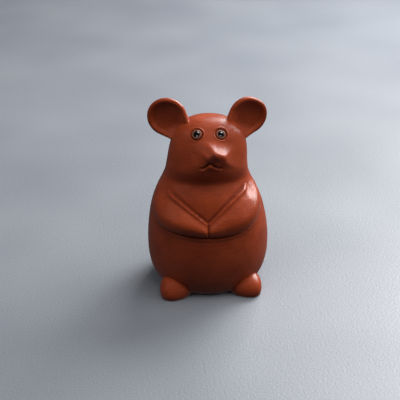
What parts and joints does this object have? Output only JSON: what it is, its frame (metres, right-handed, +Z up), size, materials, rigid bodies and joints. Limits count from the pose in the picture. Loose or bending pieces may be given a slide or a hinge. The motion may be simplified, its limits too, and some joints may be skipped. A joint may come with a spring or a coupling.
{
  "type": "sitting mouse figurine",
  "caption": "Small hollow mouse figurine of unglazed red stoneware, sitting with its hands clasped, round dished ears and glossy bead eyes.",
  "frame": {"origin": "centre of the figure's box, on the plane it rests on", "axes": "+Z is up from the base to the ear tips, -Y is the way the face looks, +X is the mouse's own left"},
  "size_m": [0.0446, 0.0426, 0.0705],
  "materials": {
    "red_clay": "unglazed satin, fine grain",
    "dark_clay": "unglazed satin",
    "pale_slip": "matt slip",
    "black_glaze": "glossy glaze"
  },
  "bodies": {
    "root": {"body_front": "red_clay", "body_back": "red_clay", "seam_coil": "red_clay", "base_disc": "red_clay", "ear_left": "red_clay", "ear_right": "red_clay", "arm_left": "red_clay", "arm_right": "red_clay", "foot_left": "red_clay", "foot_right": "red_clay", "tail": "red_clay", "nose": "dark_clay", "eye_pellet_left": "dark_clay", "eye_pellet_right": "dark_clay", "eye_ring_left": "pale_slip", "eye_ring_right": "pale_slip", "eye_bead_left": "black_glaze", "eye_bead_right": "black_glaze"}
  },
  "joints": []
}
